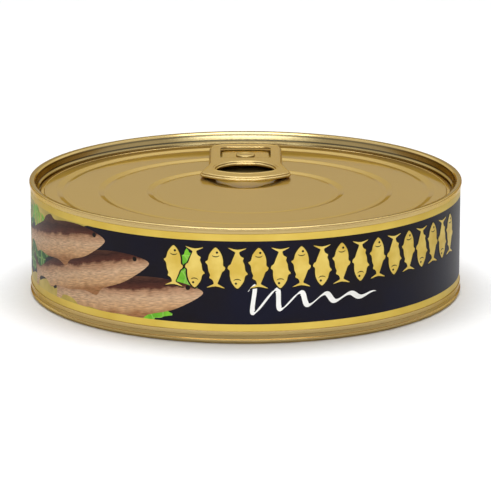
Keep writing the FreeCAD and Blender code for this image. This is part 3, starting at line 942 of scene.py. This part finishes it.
# %% Dress the pieces and let them stand for the solid model
dressed = [
    (can_body, body_gold, "can_metal", ["can_body"]), (rim, rim_gold, "lid_metal", ["lid_end"]),
    (panel, lid_gold, "lid_metal", ["tear_panel"]), (tab, tab_gold, "tab_metal", ["pull_tab"]),
    (rivet, lid_gold, "lid_metal", []), (sleeve, sleeve_print, "label_paper", ["label"])]
printed = [(fish_row, gold_ink), (fish_edge_row, black_ink), (fish_mark_row, black_ink),
           (wave, white_ink), (dark_leaves, dark_leaf), (bright_leaves, bright_leaf),
           (gold_waves, wave_ink)]
printed += [(piece, black_ink if "eye" in piece.name else sprat_ink) for piece in smoked]
dressed += [(piece, ink, "label_paper", []) for piece, ink in printed]
for piece, material, slot, nodes in dressed:
    piece.data.materials.clear()
    piece.data.materials.append(material)
    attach(piece, "root")
    if nodes:
        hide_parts(*nodes)
print(len(dressed), "pieces dressed")

# %% [markdown]
# ## Studio
# Metal shows its surroundings more than its own colour. So the white table and backdrop have a wide
# soft lamp overhead, a fill in front for the label, and five cards that are seen only in metal: a
# bright strip low in front shines along the chuck wall and the foot, two overhead lay the bright
# lines on the seam, a paler one behind lifts the panel's steps, and a low brown skirting gives the
# warm dark lines.

# %% Table and cards
bpy.ops.mesh.primitive_circle_add(vertices=128, radius=6, fill_type="NGON",
                                  location=(0, 0, -0.02 * MM))
table = named("studio_table")
paper_white, tree = blank("matt_white_table")
speckle = add(tree, "TexNoise", {"Vector": add(tree, "TexCoord").outputs["Object"],
                                 "Scale": grain(2.0)})
tint = add(tree, "MixRGB", {"Fac": speckle.outputs[0], "Color1": linear("#EDEDED"),
                            "Color2": linear("#F2F2F2")})
lit = add(tree, "MixRGB", {"Fac": seen(tree), "Color1": linear("#AAAAAA"),
                           "Color2": tint.outputs[0]})
top = add(tree, "BsdfPrincipled", {"Base Color": lit.outputs[0], "Roughness": 0.9,
                                   "Specular IOR Level": 0.1})
add(tree, "OutputMaterial", {"Surface": top.outputs[0]})
table.data.materials.append(paper_white)


def shown_in_metal(card, colour, strength, fade=None):
    """Gives a card its glow and leaves it to reflections; fade is (from, to, strength left)
    across its width, as shares of that width from the middle."""
    glow, tree = blank(card.name + "_cloth")
    level = strength
    if fade:
        across = add(tree, "SeparateXYZ", {0: add(tree, "TexCoord").outputs["Object"]}).outputs[0]
        away = add(tree, "Math", {0: across}, operation="ABSOLUTE")
        level = add(tree, "MapRange", {"Value": away.outputs[0], "From Min": fade[0],
                                       "From Max": fade[1], "To Min": strength,
                                       "To Max": fade[2]}, interpolation_type="SMOOTHSTEP")
        level = level.outputs[0]
    light = add(tree, "Emission", {"Color": linear(colour), "Strength": level})
    add(tree, "OutputMaterial", {"Surface": light.outputs[0]})
    card.data.materials.append(glow)
    for ray_kind in ("camera", "diffuse", "transmission", "shadow"):
        setattr(card, "visible_" + ray_kind, False)


def card(name, up, far, width, height, *glow):
    """A card facing the tin, up degrees above the front horizon and over the top to the back."""
    bpy.ops.mesh.primitive_plane_add(size=1)
    obj = named(name)
    turn = math.radians(up)
    obj.scale = (width, height, 1)
    obj.location = (0, -far * math.cos(turn), far * math.sin(turn))
    obj.rotation_euler = (math.pi / 2 - turn, 0, 0)
    shown_in_metal(obj, *glow)


card("studio_strip", 13.4, 0.76, 1.7, 0.08, "#DCE8FF", 13.0, (0.06, 0.50, 0.2))
card("studio_front_top_card", 70, 1.0, 0.9, 0.35, "#EEF3FF", 5.2)
card("studio_back_top_card", 115, 1.0, 0.9, 0.44, "#EEF3FF", 4.5)
card("studio_back_card", 139, 0.9, 1.6, 0.36, "#FFFFFF", 1.25)

SKIRTING_HIGH = 0.052
bpy.ops.mesh.primitive_cylinder_add(vertices=96, radius=0.20, depth=SKIRTING_HIGH,
                                    end_fill_type="NOTHING", location=(0, 0, SKIRTING_HIGH / 2))
shown_in_metal(named("studio_skirting"), "#B2935A", 1.0)


# %% Lamps, backdrop and camera
def soft_lamp(name, place, aim, size, radiance):
    """A rectangular lamp of this radiance, whatever its size; metal sees the cards instead."""
    lamp = bpy.data.lights.new(name, "AREA")
    lamp.shape, lamp.size, lamp.size_y = "RECTANGLE", *size
    lamp.energy = radiance * math.pi * size[0] * size[1]
    obj = bpy.data.objects.new(name, lamp)
    bpy.context.scene.collection.objects.link(obj)
    obj.location = place
    obj.rotation_mode = "QUATERNION"
    obj.rotation_quaternion = (Vector(aim) - Vector(place)).to_track_quat("-Z", "Y")
    obj.visible_glossy = False


soft_lamp("overhead_softbox", (0, 0.18, 0.95), (0, 0, 0), (0.90, 0.66), 6.1)
soft_lamp("front_fill", (0, -1.1, 0.20), (0, 0, 0.01), (0.7, 0.34), 12.0)

scene = bpy.context.scene
scene.world = bpy.data.worlds.new("white_studio")
scene.world.use_nodes = True
tree = scene.world.node_tree
tree.nodes.clear()
level = add(tree, "MapRange", {"Value": seen(tree), "To Min": 0.18, "To Max": 1.0})
add(tree, "OutputWorld", {"Surface": add(tree, "Background", {
    "Color": (1, 1, 1, 1), "Strength": level.outputs[0]}).outputs[0]})

CAMERA_FAR, CAMERA_UP, CAMERA_OVER = 0.856, math.radians(13.864), 0.014
camera = bpy.data.objects.new("camera", bpy.data.cameras.new("camera"))
scene.collection.objects.link(camera)
camera.location = (0, -CAMERA_FAR * math.cos(CAMERA_UP),
                   CAMERA_FAR * math.sin(CAMERA_UP) + CAMERA_OVER)
camera.rotation_mode = "QUATERNION"
aim = Vector((0, 0, 0.01007))
camera.rotation_quaternion = (aim - camera.location).to_track_quat("-Z", "Y")
camera.data.sensor_width, camera.data.lens = 36, 263.75
camera.data.clip_start, camera.data.clip_end = 0.05, 20
scene.camera = camera
scene.view_settings.view_transform = "Standard"
